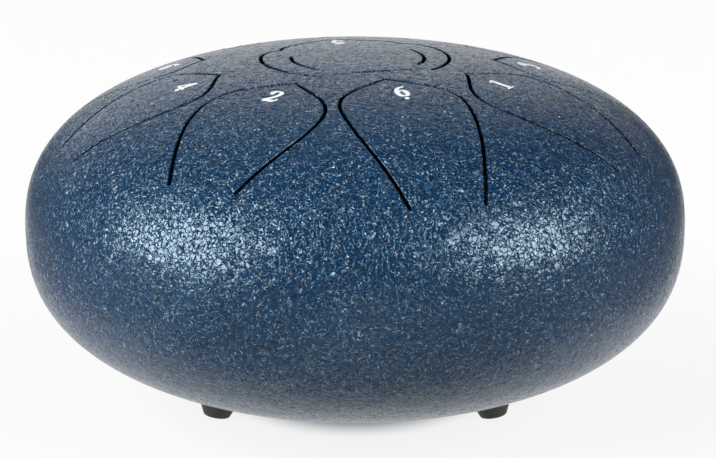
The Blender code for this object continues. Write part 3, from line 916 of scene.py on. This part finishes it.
def paint_height(nodes, place, edge, cells, facets):
    """Relief of the paint: domed borders, a soft swell, cracks, and tilted cells and facets."""
    (tilt, tone), (fine_tilt, fine_tone) = cells, facets
    swell = nodes.noise(place, SWELL_SCALE, 1.0)
    width = nodes.math("MULTIPLY_ADD", tone[1], BORDER_SPREAD, BORDER_LEAST)
    border = {0: edge, 1: 0.0, 2: width, 3: 1.0, 4: 0.0}
    border = nodes.add("ShaderNodeMapRange", border, interpolation_type="LINEAR")
    drop = nodes.math("MULTIPLY", nodes.math("MULTIPLY", border, border), width)
    drop = nodes.math("MULTIPLY", drop, -BORDER_DROP)
    height = nodes.math("MULTIPLY_ADD", swell, SWELL_HEIGHT, drop)
    crack = nodes.ramp(edge, 0.0, CRACK_WIDTH)
    height = nodes.math("MULTIPLY_ADD", crack, CRACK_DEPTH, height)
    steep = nodes.math("POWER", fine_tone[2], FACET_TILT_POWER)
    steep = nodes.math("MULTIPLY_ADD", steep, FACET_TILT_SPREAD, FACET_TILT_LEAST)
    height = nodes.math("MULTIPLY_ADD", tilt, CELL_TILT, height)
    return nodes.math("MULTIPLY_ADD", fine_tilt, steep, height)


def crackle_paint():
    """Dark blue crackle coat: flat cells with domed borders, small facets, silvery dashes that
    paint glints, and painted shade on the slot walls.
    """
    material, shader = new_material("crackle_paint_fine", PAINT_ROUGHNESS)
    shader.inputs["Specular IOR Level"].default_value = PAINT_SPECULAR
    shader.inputs["Specular Tint"].default_value = PAINT_SPECULAR_TINT
    nodes = Nodes(material)
    place = nodes.add("ShaderNodeTexCoord", {}, "Object")
    gentle = warped(nodes, place, *GENTLE_WARP)
    strong = warped(nodes, place, *STRONG_WARP)
    cells = tilted_cells(nodes, gentle, CELL_SCALE)
    edge = cell_edges(nodes, gentle, CELL_SCALE)
    facets = tilted_cells(nodes, strong, FACET_SCALE)
    nodes.bump(paint_height(nodes, place, edge, cells, facets), shader)

    base = nodes.mix(facets[1][0], PAINT_DEEP, PAINT_BLUE)
    shifted = nodes.vector("ADD", strong, SMALL_GLINT_DASHES_SHIFT)
    broad, small = glint_dashes(nodes, strong, *BROAD_GLINT_DASHES), glint_dashes(nodes, shifted, *SMALL_GLINT_DASHES)
    # Painted glints: silvery dashes in the colour stand in for the sparkle of the coat's facets
    base = nodes.mix(nodes.math("MAXIMUM", broad, small), base, PAINT_GLINT_SILVER)
    colour = nodes.mix(nodes.ramp(edge, 0.0, STAIN_WIDTH), PAINT_CRACK, base)
    # Painted shade: the slot walls under the rounded lip and over the inner skin are coloured near
    # black, for the shade inside the slots
    depth = nodes.add("ShaderNodeAttribute", {}, "Fac", attribute_name="depth")
    under_lip = nodes.ramp(depth, SLOT_SHADE_FADE, 2 * SLOT_SHADE_FADE)
    over_inside = nodes.ramp(depth, SHEET - SLOT_SHADE_FADE, SHEET, 1.0, 0.0)
    wall = nodes.math("MULTIPLY", under_lip, over_inside)
    nodes.put(nodes.mix(wall, colour, SLOT_WALL_SHADE), shader.inputs["Base Color"])
    return material


def numeral_vinyl():
    """White sticker with slight wear."""
    material, shader = new_material("numeral_vinyl_fine", 0.35)
    nodes = Nodes(material)
    place = nodes.add("ShaderNodeTexCoord", {}, "Object")
    wear = nodes.ramp(nodes.noise(place, VINYL_WEAR_SCALE, 3.0), 0.3, 0.6)
    nodes.put(nodes.mix(wear, VINYL_WORN, VINYL_WHITE), shader.inputs["Base Color"])
    return material


def foot_rubber():
    """Black rubber with a fine grain and a little dust."""
    material, shader = new_material("foot_rubber_fine", 0.55)
    nodes = Nodes(material)
    place = nodes.add("ShaderNodeTexCoord", {}, "Object")
    grain = nodes.noise(place, RUBBER_GRAIN_SCALE, 3.0)
    dust = nodes.noise(place, RUBBER_DUST_SCALE, 4.0)
    colour = nodes.mix(nodes.ramp(dust, 0.45, 0.75), RUBBER_BLACK, RUBBER_DUSTY)
    nodes.put(colour, shader.inputs["Base Color"])
    nodes.put(nodes.ramp(dust, 0.3, 0.7, 0.48, 0.66), shader.inputs["Roughness"])
    nodes.bump(nodes.math("MULTIPLY", grain, RUBBER_GRAIN_HEIGHT), shader)
    return material


def zinc_steel():
    """Zinc-plated steel with a hazy finish."""
    material, shader = new_material("zinc_steel_fine", 0.32, metallic=1.0)
    nodes = Nodes(material)
    place = nodes.add("ShaderNodeTexCoord", {}, "Object")
    haze = nodes.noise(place, ZINC_HAZE_SCALE, 3.0)
    colour = nodes.mix(nodes.ramp(haze, 0.3, 0.7), ZINC_DULL, ZINC_BRIGHT)
    nodes.put(colour, shader.inputs["Base Color"])
    nodes.put(nodes.ramp(haze, 0.3, 0.7, 0.25, 0.42), shader.inputs["Roughness"])
    return material


def dress_fasteners(material):
    """The screws, washers and nuts keep their CAD solids and get the finer finish."""
    for name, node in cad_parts.items():
        if name.startswith(("foot_screw", "foot_washer", "foot_nut")):
            node.data.materials.clear()
            node.data.materials.append(material)


def make_floor():
    """Floor with a white pool round the drum, a painted pool of light, where it keeps a light
    shadow.
    """
    bpy.ops.mesh.primitive_plane_add(size=FLOOR_SIZE, location=(0, 0, 0))
    floor = bpy.context.object
    floor.name = "floor"
    material = bpy.data.materials.new("pale_floor")
    material.use_nodes = True
    nodes = Nodes(material)
    nodes.tree.nodes.clear()
    place = nodes.add("ShaderNodeTexCoord", {}, "Object")
    x, y, _ = nodes.parts(place)
    beyond = nodes.math("MAXIMUM", y, 0.0)
    beside = nodes.math("MULTIPLY_ADD", beyond, -LIGHT_POOL_WIDENING, nodes.math("ABSOLUTE", x))
    # Painted light: the floor is white in a pool round the drum and grey outside it
    light_pool = nodes.ramp(beside, *LIGHT_POOL_SIDE, 1.0, 0.0)
    light_pool = nodes.math("MULTIPLY", light_pool, nodes.ramp(y, *LIGHT_POOL_FRONT))
    matt = nodes.add("ShaderNodeBsdfDiffuse", {"Color": nodes.mix(light_pool, FLOOR_COLOUR, LIGHT_POOL_COLOUR)})

    path = nodes.tree.nodes.new("ShaderNodeLightPath")
    seen = nodes.math("MAXIMUM", path.outputs["Is Camera Ray"], path.outputs["Is Glossy Ray"])
    seen = nodes.math("MAXIMUM", seen, path.outputs["Is Transmission Ray"])
    share = nodes.math("MULTIPLY", seen, light_pool)
    share = nodes.math("MULTIPLY", share, nodes.ramp(y, *GLOW_DEPTH, *GLOW_SHARE))
    shade = nodes.ramp(nodes.vector("LENGTH", place, output=1), *HOLE_SHADE)
    share = nodes.math("MULTIPLY", share, shade)
    glow = nodes.add("ShaderNodeEmission", {"Color": (1, 1, 1, 1), "Strength": 1.0})
    mixed = nodes.add("ShaderNodeMixShader", {0: share, 1: matt, 2: glow})
    output = nodes.tree.nodes.new("ShaderNodeOutputMaterial")
    nodes.put(mixed, output.inputs[0])
    floor.data.materials.append(material)


def make_light(name, azimuth, elevation, distance, width, height, power):
    """Soft box that faces the drum's middle."""
    light = bpy.data.lights.new(name, "AREA")
    light.shape = "RECTANGLE"
    light.size, light.size_y = width, height
    light.energy = power
    made = new_object(name, light)
    away = away_from_axis(azimuth, elevation)
    made.location = Vector((0, 0, EQUATOR)) + away * distance
    made.rotation_euler = away.to_track_quat("Z", "Y").to_euler()


def make_world():
    """Studio with a white wall behind the drum, dark overhead and in front."""
    world = bpy.data.worlds.new("studio")
    bpy.context.scene.world = world
    world.use_nodes = True
    nodes = Nodes(world)
    nodes.tree.nodes.clear()
    x, y, z = nodes.parts(nodes.add("ShaderNodeTexCoord", {}, "Generated"))
    aside = nodes.math("ABSOLUTE", nodes.math("ADD", x, WALL_SHIFT))
    wall = nodes.ramp(aside, *WALL_ASIDE, 1.0, WALL_ASIDE_LEAST)
    wall = nodes.math("MULTIPLY", wall, nodes.ramp(y, *WALL_BEHIND))
    wall = nodes.math("MULTIPLY", wall, nodes.ramp(z, *WALL_TOP, 1.0, WALL_TOP_LEAST))
    strength = nodes.math("MULTIPLY_ADD", wall, WALL_STRENGTH, ROOM_STRENGTH)
    light = nodes.add("ShaderNodeBackground", {0: (1, 1, 1, 1), 1: strength})
    output = nodes.tree.nodes.new("ShaderNodeOutputWorld")
    nodes.put(light, output.inputs[0])


def make_camera():
    """Camera at the photo's viewing angle."""
    data = bpy.data.cameras.new("camera")
    data.lens = CAMERA_LENS
    data.sensor_width = 36
    data.shift_x, data.shift_y = CAMERA_SHIFT
    data.clip_start, data.clip_end = 0.05, 60
    camera = new_object("camera", data)
    lift = math.radians(CAMERA_ELEVATION)
    back, up = CAMERA_DISTANCE * math.cos(lift), CAMERA_DISTANCE * math.sin(lift)
    camera.location = (0, -back, EQUATOR + up)
    camera.rotation_euler = (math.radians(90 - CAMERA_ELEVATION), 0, 0)
    bpy.context.scene.camera = camera


def main():
    scene = bpy.context.scene
    scene.view_settings.view_transform = "Standard"
    paint = crackle_paint()
    white = numeral_vinyl()
    rubber = foot_rubber()
    make_crown(paint)
    make_bottom(paint)
    make_weld(paint)
    make_numerals(white)
    make_feet(rubber)
    dress_fasteners(zinc_steel())
    make_floor()
    for name, sizes in LAMPS.items():
        make_light(name, *sizes)
    make_world()
    make_camera()


main()
